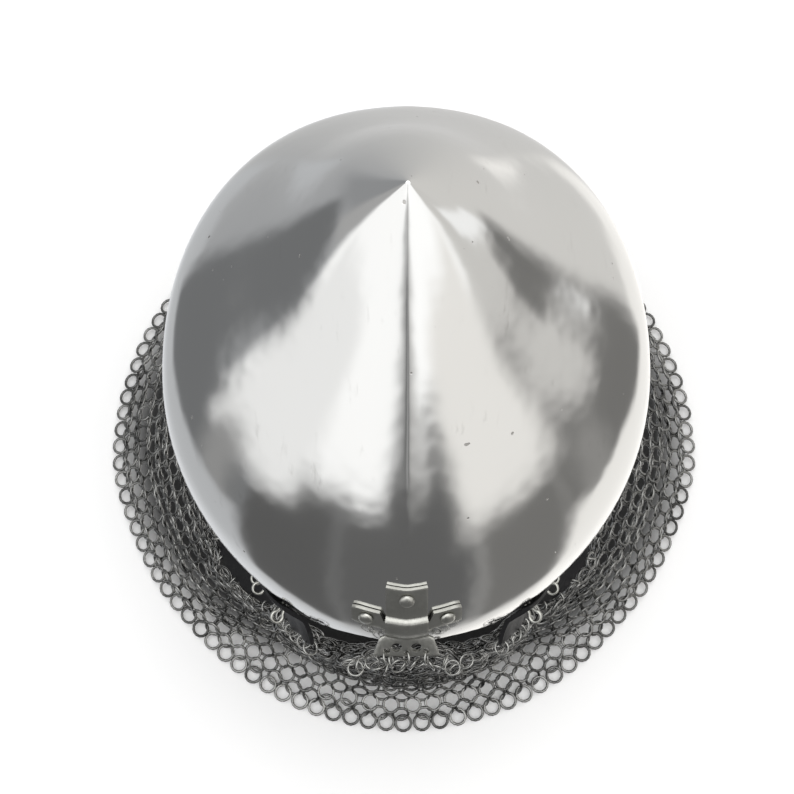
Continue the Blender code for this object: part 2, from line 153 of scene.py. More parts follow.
# %% The studio, by direction
steel_reflectance = 0.66
room_level = 0.69
room_lean = 0.09
room_panels = [
    # name, azimuth from and to (0 is in front, + is right), elevation from and to, its rise
    # for each degree of azimuth, softness in degrees, level on the steel, warmth
    ("table left",      -150,  -57, -90, -22,  0.10,  3, 0.68, -1),
    ("table low left",  -200,  -20, -90, -58,  0.00, 10, 0.76, -1),
    ("table right",       56,  150, -90, -25, -0.12,  5, 0.89,  1),
    ("table low right",   20,  165, -90, -60,  0.00,  8, 0.92,  1),
    ("dark left",        -57,  -28, -54,  20,  0.10,  4, 0.34,  0),
    ("dark right",        30,   56, -54,  12,  0.00,  4, 0.43,  1),
    ("dark front",       -30,   30, -50,  25,  0.00,  5, 0.36,  0),
    ("side left",       -122,  -56, -28,   8,  0.30,  4, 0.42, -1),
    ("upper left",      -140,  -96,   0,  60,  0.75,  8, 0.54, -1),
    ("back left",       -108,  -86,   8,  60,  0.60,  5, 0.62,  0),
    ("panel left",       -86,  -17,  14,  57,  0.14,  4, 0.98,  0),
    ("panel left low",   -80,  -44,   2,  30,  0.26,  5, 0.90,  0),
    ("side right",        54,  112, -26,   8, -0.40,  4, 0.43,  1),
    ("panel right",       15,   66,  25,  58, -0.08,  4, 1.00,  0),
    ("panel right low",   27,   62,  11,  40,  0.05,  6, 0.88,  1),
    ("upper right",       71,   92,   8,  60, -0.40,  4, 0.76,  1),
    ("gap right",         80,  108,  10,  24, -0.90,  3, 0.93,  0),
    ("streak right",      62,   76, -22,   8,  0.00,  6, 0.52,  1),
    ("streak left",      -76,  -62, -24,   6,  0.00,  6, 0.54,  0),
    ("camera",           -12,    9,  24,  46,  0.00,  3, 0.42,  0),
    ("camera gap",        -4,    4,  24,  60,  0.00,  2, 0.56,  0),
    ("overhead",        -200,  200,  58,  90,  0.00,  5, 1.25,  0),
]


def light_of(level, warmth=0):
    """The light that gives the steel a level in the picture, as a colour."""
    light = level ** 2.2 / steel_reflectance
    return (light * (1 + 0.02 * warmth), light, light * (1 - 0.03 * warmth))


world = bpy.data.worlds.new("studio")
world.use_nodes = True
bpy.context.scene.world = world
bpy.context.scene.view_settings.view_transform = "Standard"
room = Board(world.node_tree)
direction = room.node("ShaderNodeTexCoord", output="Generated")
parts = room.node("ShaderNodeSeparateXYZ", None, {0: direction})
across, forward, rise = (Wire(room, parts.socket.node.outputs[i]) for i in range(3))
azimuth = across.sum("ARCTAN2", forward * -1.0).sum("DEGREES")
elevation = rise.sum("ARCSINE").sum("DEGREES")
wobble = room.node("ShaderNodeTexNoise", None, {"Vector": direction, "Scale": 3.0, "Detail": 2.0})
elevation = elevation + (wobble - 0.5) * 12.0
glow = room.mix(across.ramp(-1.0, 1.0), light_of(room_level - room_lean, -1),
                light_of(room_level + room_lean, 1))
for name, left, right, low, high, slope, soft, level, warmth in room_panels:
    tilted = elevation - (azimuth - (left + right) / 2) * slope if slope else elevation
    mask = None
    for value, edge, way in ((azimuth, left, 1), (azimuth, right, -1), (tilted, low, 1), (tilted, high, -1)):
        if abs(edge) >= 200 or (value is tilted and abs(edge) >= 90):
            continue
        side = value.ramp(edge - soft * way, edge + soft * way)
        mask = side if mask is None else mask * side
    glow = room.mix(mask, glow, light_of(level, warmth))
room.link(glow, world.node_tree.nodes["Background"].inputs["Color"])
print("room:", len(room_panels), "panels,", len(world.node_tree.nodes), "nodes")

# %% [markdown]
# The helmet stands on a white floor that runs up into a wall all round. Only the camera sees
# it: the steel would show it, and the painted room already holds the table top. Hardly any
# light gets in under the helmet, so the floor's colour is painted dark there, as a painted shadow.

# %% Floor
hem_below_seat = 0.300
mail_thickness = 0.0025
floor_height = -hem_below_seat - mail_thickness / 2 - 0.0002
floor_reach = 3.0
wall_height = 3.0


def build_floor():
    """A round floor that curves up into a wall."""
    profile = [(0.02, 0.0)] + [(floor_reach * share, 0.0) for share in (0.05, 0.1, 0.2, 0.4, 0.7)]
    for angle in np.radians(np.linspace(0, 90, 13)):
        profile.append((floor_reach + math.sin(angle), 1 - math.cos(angle)))
    profile.append((floor_reach + 1, wall_height))
    steps = 64
    form = bmesh.new()
    rings = [[form.verts.new((r * math.cos(a), r * math.sin(a), floor_height + z))
              for a in np.linspace(0, 2 * math.pi, steps + 1)[:-1]] for r, z in profile]
    form.faces.new(rings[0])
    for lower, upper in zip(rings, rings[1:]):
        for i in range(steps):
            after = (i + 1) % steps
            form.faces.new((lower[i], upper[i], upper[after], lower[after]))
    for face in form.faces:
        face.smooth = True
    bmesh.ops.recalc_face_normals(form, faces=form.faces)
    if form.faces[0].normal.z < 0:
        bmesh.ops.reverse_faces(form, faces=form.faces)
    mesh = bpy.data.meshes.new("floor")
    form.to_mesh(mesh)
    form.free()
    made = bpy.data.objects.new("floor", mesh)
    bpy.context.scene.collection.objects.link(made)
    return made


floor = build_floor()
for ray in ("visible_diffuse", "visible_glossy", "visible_transmission", "visible_shadow"):
    setattr(floor, ray, False)

# %% [markdown]
# A finish is one Principled shader with nodes that change its colour, roughness and bump over
# the surface. The class below adds what every finish here needs: places in metres, cloudy
# noise of a size in metres, and a bump.

# %% Finishes
class Finish(Board):
    """A material whose surface is one Principled shader."""

    def __init__(self, name, **surface):
        self.material = bpy.data.materials.new(name)
        self.material.use_nodes = True
        super().__init__(self.material.node_tree)
        self.shader = self.tree.nodes["Principled BSDF"]
        self.set(**surface)

    def set(self, **surface):
        for name, value in surface.items():
            self.link(value, self.shader.inputs[name.replace("_", " ").title()])

    def place(self, scale=(1, 1, 1)):
        """The point on the object, in metres, stretched by a scale."""
        where = self.node("ShaderNodeTexCoord", output="Object")
        return self.node("ShaderNodeMapping", None, {"Vector": where, "Scale": scale})

    def noise(self, size, detail=2.0, rough=0.5, stretch=(1, 1, 1)):
        """Cloudy values whose clouds measure about one size, in metres."""
        return self.node("ShaderNodeTexNoise", None, {
            "Vector": self.place(stretch), "Scale": 1 / size, "Detail": detail, "Roughness": rough})

    def bump(self, height, strength, distance):
        bumped = self.node("ShaderNodeBump", None,
                           {"Strength": strength, "Distance": distance, "Height": height})
        self.link(bumped, self.shader.inputs["Normal"])


table_top = Finish("white_table", roughness=0.6)
cloud = table_top.noise(0.8)
# painted shadow: the floor's colour is dark in an oval under the helmet and white outside it
painted_shadow_half_width, painted_shadow_half_length, painted_shadow_middle = 0.147, 0.128, 0.025
where = table_top.node("ShaderNodeTexCoord", output="Object")
inside = table_top.node("ShaderNodeMapping", None, {
    "Vector": where, "Scale": (1 / painted_shadow_half_width, 1 / painted_shadow_half_length, 0),
    "Location": (0, -painted_shadow_middle / painted_shadow_half_length, 0)})
clear_of_painted_shadow = table_top.node("ShaderNodeVectorMath", {"operation": "LENGTH"}, {0: inside}, 1).ramp(0.90, 1.06)
white = table_top.mix(cloud, (0.90, 0.90, 0.90), (0.93, 0.93, 0.93))
table_top.set(base_color=table_top.mix(clear_of_painted_shadow, (0.02, 0.02, 0.02), white))
floor.data.materials.append(table_top.material)

# %% [markdown]
# The bowl is one plate of steel, raised over stakes and polished until it mirrors the room.
# Fine scratches from the last polish cross it, and a few small pits are left. They are far
# too shallow to model, so they go into the roughness and a bump of a few microns.

# %% Polished steel
polished = Finish("polished_steel", metallic=1.0)
smudge = polished.noise(0.045, detail=3.0)
scratch = polished.noise(0.0045, detail=4.0, rough=0.7, stretch=(1, 0.12, 0.5)).ramp(0.60, 0.78)
pit = polished.noise(0.0028, detail=0.0).ramp(0.86, 0.89)
polished.set(base_color=polished.mix(pit * 0.7 + scratch * 0.15, (0.66, 0.66, 0.65), (0.30, 0.29, 0.27)),
             roughness=0.085 + smudge * 0.05 + scratch * 0.08 + pit * 0.3)
polished.bump(smudge - pit * 0.08 - scratch * 0.004, 1.0, 0.0006)

fittings = Finish("forged_fittings", metallic=1.0)
grain = fittings.noise(0.0012, detail=3.0, stretch=(1, 0.25, 1))
stain = fittings.noise(0.006, detail=2.0)
fittings.set(base_color=fittings.mix(stain, (0.55, 0.55, 0.52), (0.36, 0.36, 0.33)),
             roughness=0.20 + grain * 0.18 + stain * 0.10)
fittings.bump(grain * 0.4 + stain, 0.25, 0.0006)

# %% [markdown]
# The mail is drawn wire, darker than the plate, with dull spots. Each link carries a number of
# its own, so that no two are quite alike; under the nasal this number is lowered, as painted shade.

# %% Mail wire and leather
wire_steel = Finish("mail_wire", metallic=1.0)
# the link attribute holds each link's random tone, lowered where the mail bunches under the nasal as painted
# shade
own = wire_steel.node("ShaderNodeAttribute", {"attribute_name": "link_shade"}, output="Fac")
dull = wire_steel.noise(0.002, detail=2.0)
wire_steel.set(base_color=wire_steel.mix(own * 0.7 + dull * 0.3, (0.04, 0.04, 0.04), (0.32, 0.32, 0.31)),
               roughness=0.16 + dull * 0.2)
wire_steel.bump(dull, 0.2, 0.0002)

hide = Finish("black_leather", metallic=0.0)
pebble = hide.node("ShaderNodeTexVoronoi", {"feature": "SMOOTH_F1"},
                   {"Vector": hide.place(), "Scale": 900.0, "Smoothness": 0.6})
crease = hide.noise(0.010, detail=4.0, rough=0.65)
rubbed = crease.ramp(0.56, 0.78)
hide.set(base_color=hide.mix(rubbed, (0.006, 0.006, 0.007), (0.026, 0.029, 0.027)),
         roughness=0.58 + rubbed * 0.14)
hide.shader.inputs["Specular IOR Level"].default_value = 0.25
hide.bump(pebble * 0.5 + crease, 0.35, 0.0006)

bright_wire = Finish("bright_wire", metallic=1.0)
rub = bright_wire.noise(0.002, detail=2.0)
bright_wire.set(base_color=bright_wire.mix(rub, (0.22, 0.22, 0.21), (0.48, 0.48, 0.46)),
                roughness=0.16 + rub * 0.2)

# %% [markdown]
# The bowl's form follows two rules. Its half width and its reach to the front and the back
# change with the drop below the apex, by the table. At each height, its plan is a rounded
# oval that comes to a low ridge at the front and the back.

# %% The bowl's form
bowl_height = 0.260
bowl_half_width = 0.103
apex_to_front = 0.148
apex_to_back = 0.090
apex_behind_seat = 0.029
crown_above_seat = 0.050
plate_thickness = 0.0020
front_ridge = 0.12
back_ridge = 0.04
front_fullness = 1.98
back_fullness = 2.27
ridge_rounding = 0.010
rim_height = crown_above_seat - bowl_height

bowl_sections = [
    # drop, width, front, back
    (0.00, 0.000, 0.000, 0.000),
    (0.03, 0.121, 0.098, 0.111),
    (0.10, 0.320, 0.304, 0.322),
    (0.20, 0.544, 0.543, 0.511),
    (0.34, 0.883, 0.830, 0.772),
    (0.50, 0.990, 1.000, 0.917),
    (0.72, 0.932, 0.957, 1.000),
    (1.00, 0.864, 0.870, 0.900),
]


def smooth_curve(stations, values):
    """A curve through the values with no break in its bend. It takes and gives arrays."""
    stations, values = np.array(stations, float), np.array(values, float)
    steps = np.diff(stations)
    slopes = np.diff(values, axis=0) / steps.reshape((-1,) + (1,) * (values.ndim - 1))
    count = len(stations)
    system, target = np.eye(count), np.zeros(values.shape)
    for i in range(1, count - 1):
        system[i, i - 1:i + 2] = steps[i - 1], 2 * (steps[i - 1] + steps[i]), steps[i]
        target[i] = 6 * (slopes[i] - slopes[i - 1])
    bends = np.linalg.solve(system, target.reshape(count, -1)).reshape(values.shape)

    def at(place):
        place = np.clip(np.asarray(place, float), stations[0], stations[-1])
        i = np.clip(np.searchsorted(stations, place, side="right") - 1, 0, count - 2)
        shape = place.shape + (1,) * (values.ndim - 1)
        step = steps[i].reshape(shape)
        before, after = (stations[i + 1] - place).reshape(shape), (place - stations[i]).reshape(shape)
        arch = bends[i] * before ** 3 + bends[i + 1] * after ** 3
        start = (values[i] / step - bends[i] * step / 6) * before
        end = (values[i + 1] / step - bends[i + 1] * step / 6) * after
        return arch / (6 * step) + start + end

    return at


section_at = smooth_curve([row[0] for row in bowl_sections], [row[1:] for row in bowl_sections])


def bowl_point(turn, height):
    """Points on the bowl's outside, turned from the front (0) to the back (pi), at heights above the rim."""
    turn, height = np.broadcast_arrays(np.asarray(turn, float), np.asarray(height, float))
    shares = section_at(1 - height / bowl_height)
    half_width = bowl_half_width * shares[..., 0]
    front = apex_behind_seat - apex_to_front * shares[..., 1]
    back = apex_behind_seat + apex_to_back * shares[..., 2]
    middle, half_length = (front + back) / 2, (back - front) / 2
    forward, sideways = np.cos(turn), np.abs(np.sin(turn))
    share = (1 + forward) / 2
    power = 2 / (back_fullness + (front_fullness - back_fullness) * share)
    ridge = back_ridge + (front_ridge - back_ridge) * share
    rounded = np.sqrt(sideways ** 2 + ridge_rounding ** 2) - ridge_rounding
    reach = (1 - ridge) * np.abs(forward) ** power + ridge * (1 - rounded)
    x = half_width * sideways ** power * np.sign(np.sin(turn))
    return np.stack([x, middle - half_length * reach * np.sign(forward), rim_height + height], axis=-1)


def bowl_normal(turn, height):
    """The outward direction of the bowl's outside."""
    small_turn, small_rise = 0.004, 0.0005
    along = bowl_point(turn + small_turn, height) - bowl_point(turn - small_turn, height)
    up = bowl_point(turn, height + small_rise) - bowl_point(turn, height - small_rise)
    outward = np.cross(along, up)
    return outward / np.maximum(np.linalg.norm(outward, axis=-1, keepdims=True), 1e-12)


def turn_at(x, height):
    """The turn at which the front half of the bowl reaches x at a height."""
    low, high = np.zeros_like(x), np.full_like(x, math.pi / 2)
    for _ in range(40):
        middle = (low + high) / 2
        short = bowl_point(middle, height)[..., 0] < np.abs(x)
        low, high = np.where(short, middle, low), np.where(short, high, middle)
    return np.copysign(low, x)


# %% [markdown]
# The steel's edge runs from the brow down the face opening, round the jaw corner and along
# the neck. The smith files it round, and it keeps some nicks, which show as dark notches over
# the eyes. The grid below starts each of its columns on this edge, so no cut is needed and
# the mirror finish stays free of creases.

# %% The steel's edge
opening_half_width = 0.060
opening_height = 0.128
opening_fullness = 2.6
jaw_corner_radius = 0.014
edge_spacing = 0.0014


def even_line(points, spacing, *others):
    """Other columns of values at even steps along a line of points."""
    runs = np.concatenate([[0], np.cumsum(np.linalg.norm(np.diff(points, axis=0), axis=1))])
    even = np.linspace(0, runs[-1], max(int(round(runs[-1] / spacing)), 2) + 1)
    return [np.interp(even, runs, column) for column in others] + [even]


def opening_outline():
    """Half of the face opening seen from the front, as x and height, from the brow to the jaw corner."""
    power = 2 / opening_fullness
    angle = np.linspace(0, math.pi / 2, 400)
    arch = np.stack([opening_half_width * np.sin(angle) ** power,
                     opening_height * np.cos(angle) ** power], axis=1)
    arch = arch[arch[:, 1] > jaw_corner_radius]
    angle = np.linspace(0, math.pi / 2, 40)
    corner = np.stack([opening_half_width + jaw_corner_radius * (1 - np.cos(angle)),
                       jaw_corner_radius * (1 - np.sin(angle))], axis=1)
    return np.concatenate([arch, corner])


outline = opening_outline()
front_turns = turn_at(outline[:, 0], outline[:, 1])
neck_turns = np.linspace(front_turns[-1], math.pi, 600)[1:]
edge_turns = np.concatenate([front_turns, neck_turns])
edge_heights = np.concatenate([outline[:, 1], np.zeros(len(neck_turns))])
edge_turn, edge_height, edge_run = even_line(bowl_point(edge_turns, edge_heights), edge_spacing,
                                             edge_turns, edge_heights)
print("half of the steel's edge:", round(edge_run[-1], 3), "m in", len(edge_run), "points")


def grid_faces(rows, columns, closed):
    """Faces of a grid of rows by columns, row after row."""
    faces = []
    last = columns if closed else columns - 1
    for r in range(rows - 1):
        for c in range(last):
            after = (c + 1) % columns
            lower, upper = r * columns, (r + 1) * columns
            faces.append((lower + c, lower + after, upper + after, upper + c))
    return faces


def new_piece(name, vertices, faces, finish, normals=None):
    """A smooth mesh object with one finish, its faces turned outwards where no normals are given."""
    mesh = bpy.data.meshes.new(name)
    mesh.from_pydata([tuple(v) for v in vertices], [], faces)
    if normals is None:
        form = bmesh.new()
        form.from_mesh(mesh)
        bmesh.ops.recalc_face_normals(form, faces=form.faces)
        form.to_mesh(mesh)
        form.free()
    mesh.shade_smooth()
    if normals is not None:
        mesh.normals_split_custom_set_from_vertices([tuple(n) for n in normals])
    mesh.materials.append(finish.material)
    piece = bpy.data.objects.new(name, mesh)
    bpy.context.scene.collection.objects.link(piece)
    return piece


def triangles(piece):
    """How many triangles a piece's mesh has."""
    piece.data.calc_loop_triangles()
    return len(piece.data.loop_triangles)


# %% [markdown]
# The bowl's wall is made as three bands that share their points: the outside from the edge up
# to the apex, the filed edge itself, and the inside. The outside takes its shading directions
# from the form's own rule, because a mirror shows the slightest facet.

# %% The bowl
bowl_rows = 84
inner_rows = 30
edge_squash = 0.6
straightened_by = 0.6
inner_apex_drop = plate_thickness * 2.5
inner_row_drop = plate_thickness * 1.5
nicks = [
    # x across the brow, depth, half length
    (-0.0335, 0.0004, 0.0016), (-0.0235, 0.0002, 0.0020), (-0.0178, 0.0003, 0.0014),
    (0.0190, 0.0002, 0.0018), (0.0270, 0.0004, 0.0016), (0.0345, 0.0002, 0.0022),
]


def bowl_columns():
    """The edge all round as turns and heights, from the back round the front, with the nicks filed in."""
    turns = np.concatenate([-edge_turn[:0:-1], edge_turn[:-1]])
    heights = np.concatenate([edge_height[:0:-1], edge_height[:-1]])
    x = bowl_point(turns, heights)[:, 0]
    for where, depth, half_length in nicks:
        brow = heights > opening_height * 0.5
        heights = heights + brow * depth * np.exp(-((x - where) / half_length) ** 2)
    return turns, heights


def bowl_grid(rows, curl):
    """Rows of turns and heights from the edge to just under the apex."""
    turns, heights = bowl_columns()
    count = len(turns)
    top_turns = (np.arange(count) / count * 2 - 1) * math.pi
    top_turns = top_turns + (turns[count // 2] - top_turns[count // 2])
    share = (1 - (1 - np.linspace(0, 1, rows + 1)[:-1]) ** curl)[:, None]
    blend = np.clip(share / straightened_by, 0, 1)
    blend = blend * blend * (3 - 2 * blend)
    return turns + (top_turns - turns) * blend, heights + (bowl_height - heights) * share


def build_bowl():
    """The bowl's plate with its rounded edge."""
    turns, heights = bowl_grid(bowl_rows, 1.25)
    outside, outward = bowl_point(turns, heights), bowl_normal(turns, heights)
    count = outside.shape[1]
    top = len(outside) * count
    apex = np.array([0, apex_behind_seat, crown_above_seat])
    turns, heights = bowl_grid(inner_rows, 1.1)
    inward = bowl_normal(turns, heights)
    inside = bowl_point(turns, heights) - inward * plate_thickness
    inside[:, :, 2] = np.minimum(inside[:, :, 2], crown_above_seat - inner_row_drop)
    up = np.cross(np.roll(outside[0], -1, axis=0) - np.roll(outside[0], 1, axis=0), outward[0])
    up = up / np.linalg.norm(up, axis=1, keepdims=True)
    if (up[:, 2]).mean() < 0:
        up = -up
    filed = [outside[0]]
    filed_normals = [outward[0]]
    half = plate_thickness / 2
    for angle in np.radians([22, 45, 68, 90, 112, 135, 158]):
        middle = outside[0] - outward[0] * half
        across_edge, off_edge = half * math.cos(angle), half * edge_squash * math.sin(angle)
        filed.append(middle + outward[0] * across_edge - up * off_edge)
        filed_normals.append(outward[0] * math.cos(angle) - up * math.sin(angle))
    filed.append(inside[0])
    filed_normals.append(-outward[0])
    filed, filed_normals = np.array(filed), np.array(filed_normals)
    vertices = [outside.reshape(-1, 3), [apex], inside[1:].reshape(-1, 3),
                [apex - [0, 0, inner_apex_drop]], filed[1:].reshape(-1, 3)]
    normals = [outward.reshape(-1, 3), [(0, 0, 1)], -inward[1:].reshape(-1, 3), [(0, 0, -1)],
               filed_normals[1:].reshape(-1, 3)]
    inner_start = top + 1
    inner_top = inner_start + (len(inside) - 1) * count
    filed_start = inner_top + 1
    inner_edge = filed_start + (len(filed) - 2) * count
    faces = [tuple(f) for f in grid_faces(len(outside), count, True)]
    faces += [(top - count + c, top - count + (c + 1) % count, top) for c in range(count)]
    rim = grid_faces(len(filed) - 1, count, True)
    faces += [tuple(i + filed_start for i in f)[::-1] for f in rim]
    for c in range(count):
        after = (c + 1) % count
        faces.append((c, filed_start + c, filed_start + after, after))
        faces.append((inner_edge + c, inner_start + c, inner_start + after, inner_edge + after))
        faces.append((inner_top - count + c, inner_top, inner_top - count + after))
    faces += [tuple(i + inner_start for i in f)[::-1] for f in grid_faces(len(inside) - 1, count, True)]
    return new_piece("bowl_steel", np.concatenate(vertices), faces, polished, np.concatenate(normals))


bowl = build_bowl()
print("bowl:", triangles(bowl), "triangles")

# %% [markdown]
# The nasal is three fittings: a strip across the ridge, a formed plate over it, and domed
# rivets. The plate lies flat on the bowl above the strip, steps out over it and ends in a
# flared lip, where the mail hangs from small holes. Bent bars of this kind are easiest as a
# grid with a wall, whose corners are then rounded by a Bevel.

# %% Helpers for plates and holes
clearance = 0.0003


def front_point(x, height, stand_off):
    """Points in front of the bowl at x, standing off its outside along its normal."""
    x, height = np.broadcast_arrays(np.asarray(x, float), np.asarray(height, float))
    turn = turn_at(x, height)
    return bowl_point(turn, height) + bowl_normal(turn, height) * np.asarray(stand_off)[..., None]


def frame_on(point, outward, along=(0, 0, 1)):
    """A placement whose Z looks outward and whose Y leans along a direction."""
    z = Vector(outward).normalized()
    x = Vector(along).cross(z).normalized()
    turned = Matrix((x, z.cross(x), z)).transposed().to_4x4()
    return Matrix.Translation(Vector(point)) @ turned


def settle(piece):
    """Turn a piece's modifiers into plain mesh."""
    evaluated = piece.evaluated_get(bpy.context.evaluated_depsgraph_get())
    mesh = bpy.data.meshes.new_from_object(evaluated)
    mesh.name = piece.name
    piece.modifiers.clear()
    old, piece.data = piece.data, mesh
    bpy.data.meshes.remove(old)


def plate_from_grid(name, points, thickness, corner, finish, holes):
    """A bent plate of a thickness with drilled holes and rounded corners."""
    rows, columns = points.shape[:2]
    plate = new_piece(name, points.reshape(-1, 3), grid_faces(rows, columns, False), finish)
    wall = plate.modifiers.new("wall", "SOLIDIFY")
    wall.thickness, wall.offset, wall.use_even_offset = thickness, 0, True
    form = bmesh.new()
    for placement, radius in holes:
        bmesh.ops.create_cone(form, cap_ends=True, segments=24, radius1=radius, radius2=radius, depth=0.014,
                              matrix=placement)
    drill_mesh = bpy.data.meshes.new("drills")
    form.to_mesh(drill_mesh)
    form.free()
    drills = bpy.data.objects.new("drills", drill_mesh)
    bpy.context.scene.collection.objects.link(drills)
    cut = plate.modifiers.new("holes", "BOOLEAN")
    cut.operation, cut.object = "DIFFERENCE", drills
    rounded = plate.modifiers.new("corners", "BEVEL")
    rounded.width, rounded.segments, rounded.limit_method = corner, 2, "ANGLE"
    rounded.angle_limit = math.radians(50)
    settle(plate)
    bpy.data.objects.remove(drills, do_unlink=True)
    plate.data.shade_smooth()
    plate.data.set_sharp_from_angle(angle=math.radians(40))
    return plate


# %% The strip and the plate
bracket_half_width = 0.0215
bracket_base = 0.0130
bracket_top = 0.0214
bracket_waist = 0.0175
bracket_waist_reach = 0.0086
bracket_thickness = 0.0016
nasal_thickness = 0.0016
nasal_half_width = 0.0080
nasal_top = 0.0338
nasal_ledge_top = 0.0210
nasal_ledge_foot = 0.0187
nasal_step = 0.0125
nasal_foot = 0.0080
lip_length = 0.0089
lip_slope = math.radians(48)
lip_shoulder = 0.0105
lip_half_width = 0.0132
lip_flattening = 0.8
lip_shares = [0.06, 0.12, 0.3, 0.5, 0.64, 0.78, 0.9, 1.0]
lip_hole_radius = 0.0013
eye_hole_radius = 0.0022
hole_spacing = 0.0080
rivet_shank_radius = 0.0015
rivets = [
    # x, height over the brow edge, what it clamps
    (-0.0158, 0.0175, clearance + bracket_thickness),
    (0.0158, 0.0175, clearance + bracket_thickness),
    (0.0000, 0.0297, clearance + nasal_thickness),
]


def bracket_grid():
    """The strip: its top edge dips under the plate, and its ends are clipped at the corners."""
    steps = bracket_waist_reach + np.array([0.0, 0.0005, 0.0009, 0.0013, 0.0018])
    half = np.concatenate([np.linspace(0, 0.0078, 7), steps, np.linspace(0.0125, bracket_half_width, 9)])
    x = np.concatenate([-half[:0:-1], half])
    rise = np.clip((np.abs(x) - bracket_waist_reach) / 0.0018, 0, 1)
    top = bracket_waist + (bracket_top - bracket_waist) * rise * rise * (3 - 2 * rise)
    clip = 0.0007 * np.clip((np.abs(x) - 0.0190) / 0.0025, 0, 1) ** 1.5
    up = np.linspace(0, 1, 7)[:, None]
    height = opening_height + bracket_base + clip + (top - bracket_base - 2 * clip) * up
    return front_point(np.broadcast_to(x, height.shape), height, clearance + bracket_thickness / 2)


def nasal_grid():
    """The plate from its top, flat on the bowl, over the strip and down to the lip's end."""
    over_bracket = 2 * clearance + bracket_thickness + nasal_thickness / 2
    on_bowl = clearance + nasal_thickness / 2
    stations = [(nasal_top, on_bowl), (nasal_top - 0.001, on_bowl)]
    for share in np.linspace(0.15, 0.85, 6):
        stations.append((nasal_top + (nasal_ledge_top - nasal_top) * share, on_bowl))
    for share in np.linspace(0, 1, 6):
        stations.append((nasal_ledge_top + (nasal_ledge_foot - nasal_ledge_top) * share,
                         on_bowl + (over_bracket - on_bowl) * share * share * (3 - 2 * share)))
    for share in (0.33, 0.67, 1.0):
        stations.append((nasal_ledge_foot + (nasal_step - nasal_ledge_foot) * share, over_bracket))
    stations += [((nasal_step + nasal_foot) / 2, (over_bracket + on_bowl) / 2), (nasal_foot, on_bowl)]
    across = np.linspace(-1, 1, 17)
    rows = []
    for height, stand in stations:
        rows.append(front_point(across * nasal_half_width, opening_height + height, np.full(17, stand)))
    foot = rows[-1]
    for share in lip_shares:
        row = foot.copy()
        half_width = np.interp(share, [0, 0.12, 1], [nasal_half_width, lip_shoulder, lip_half_width])
        row[:, 0] *= half_width / nasal_half_width
        row[:, 1] += (foot[8, 1] - foot[:, 1]) * lip_flattening * share
        row[:, 1] -= lip_length * share * math.cos(lip_slope)
        row[:, 2] -= lip_length * share * math.sin(lip_slope)
        rows.append(row)
    return np.array(rows)


def rivet_point(x, above_brow):
    """A rivet's place on the bowl and its outward direction."""
    height = opening_height + above_brow
    turn = turn_at(np.array(float(x)), np.array(height)) if x else np.array(0.0)
    return bowl_point(turn, height), bowl_normal(turn, height)


nasal_rows = nasal_grid()
lip_outward = (0, -math.sin(lip_slope), math.cos(lip_slope))
lip_end = nasal_rows[-1]
low_row, high_row = nasal_rows[-3][8], nasal_rows[-5][8]
nasal_holes = []
for i in (-1, 0, 1):
    low_hole = low_row + np.array([hole_spacing * i, 0, abs(i) * 0.001])
    nasal_holes.append((frame_on(low_hole, lip_outward), lip_hole_radius))
for i in (-0.5, 0.5):
    high_hole = high_row + np.array([hole_spacing * i, 0, 0])
    nasal_holes.append((frame_on(high_hole, lip_outward), eye_hole_radius))
shank_room = rivet_shank_radius + clearance
ridge_place, ridge_out = rivet_point(0.0, rivets[2][1])
nasal_holes.append((frame_on(ridge_place, ridge_out), shank_room))
nasal = plate_from_grid("nasal_formed", nasal_rows, nasal_thickness, 0.00025, fittings, nasal_holes)
side_holes = [(frame_on(*rivet_point(x, up)), shank_room) for x, up, stack in rivets[:2]]
bracket = plate_from_grid("nasal_strip", bracket_grid(), bracket_thickness, 0.00025, fittings, side_holes)
print("nasal:", triangles(nasal), "strip:", triangles(bracket))

# %% [markdown]
# The three rivets are one profile, turned on its axis: a domed head with a flat under it, the
# shank, and the clenched end inside. Hammering leaves the dome a little flat on top.

# %% The rivets
rivet_head_radius = 0.0031
rivet_head_height = 0.0016
clench_thickness = 0.0012


def rivet_piece(name, x, above_brow, stack, hollow):
    """One turned rivet, set on its place."""
    base = stack + clearance
    inside = -plate_thickness - clearance - hollow
    profile = []
    for angle in np.radians(np.linspace(0, 84, 9)):
        dome = math.cos(angle) ** 0.8
        profile.append((rivet_head_radius * math.sin(angle), base + rivet_head_height * dome))
    profile += [(rivet_head_radius, base + 0.0002), (rivet_head_radius - 0.0002, base),
                (rivet_shank_radius, base),
                (rivet_shank_radius, inside), (rivet_shank_radius * 1.6, inside),
                (rivet_shank_radius * 1.6, inside - clench_thickness * 0.7),
                (rivet_shank_radius * 1.2, inside - clench_thickness), (0.0, inside - clench_thickness)]
    steps = 36
    turned = [(r * math.cos(a), r * math.sin(a), z) for r, z in profile[1:-1]
              for a in np.linspace(0, 2 * math.pi, steps + 1)[:-1]]
    place = frame_on(*rivet_point(x, above_brow))
    ends = [(0, 0, profile[0][1]), (0, 0, profile[-1][1])]
    vertices = [place @ Vector(v) for v in turned + ends]
    rings = len(profile) - 2
    faces = grid_faces(rings, steps, True)
    faces += [((c + 1) % steps, c, rings * steps) for c in range(steps)]
    last = (rings - 1) * steps
    faces += [(last + c, last + (c + 1) % steps, rings * steps + 1) for c in range(steps)]
    rivet = new_piece(name, vertices, faces, fittings)
    rivet.data.set_sharp_from_angle(angle=math.radians(50))
    return rivet


rivet_pieces = {}
hollows = [("side_rivet_right", 0.0006), ("side_rivet_left", 0.0006), ("ridge_rivet", 0.0014)]
for (node, hollow), (x, up, stack) in zip(hollows, rivets):
    rivet_pieces[node] = rivet_piece(node.replace("rivet", "dome"), x, up, stack, hollow)

# %% [markdown]
# The leather band laps over the outside of the steel's edge and stands out past it. At the jaw
# it flares, where it turns from the face to the neck. It is thick black hide, so its edges
# are rounded and its free edge waves a little between the links that pull on it.

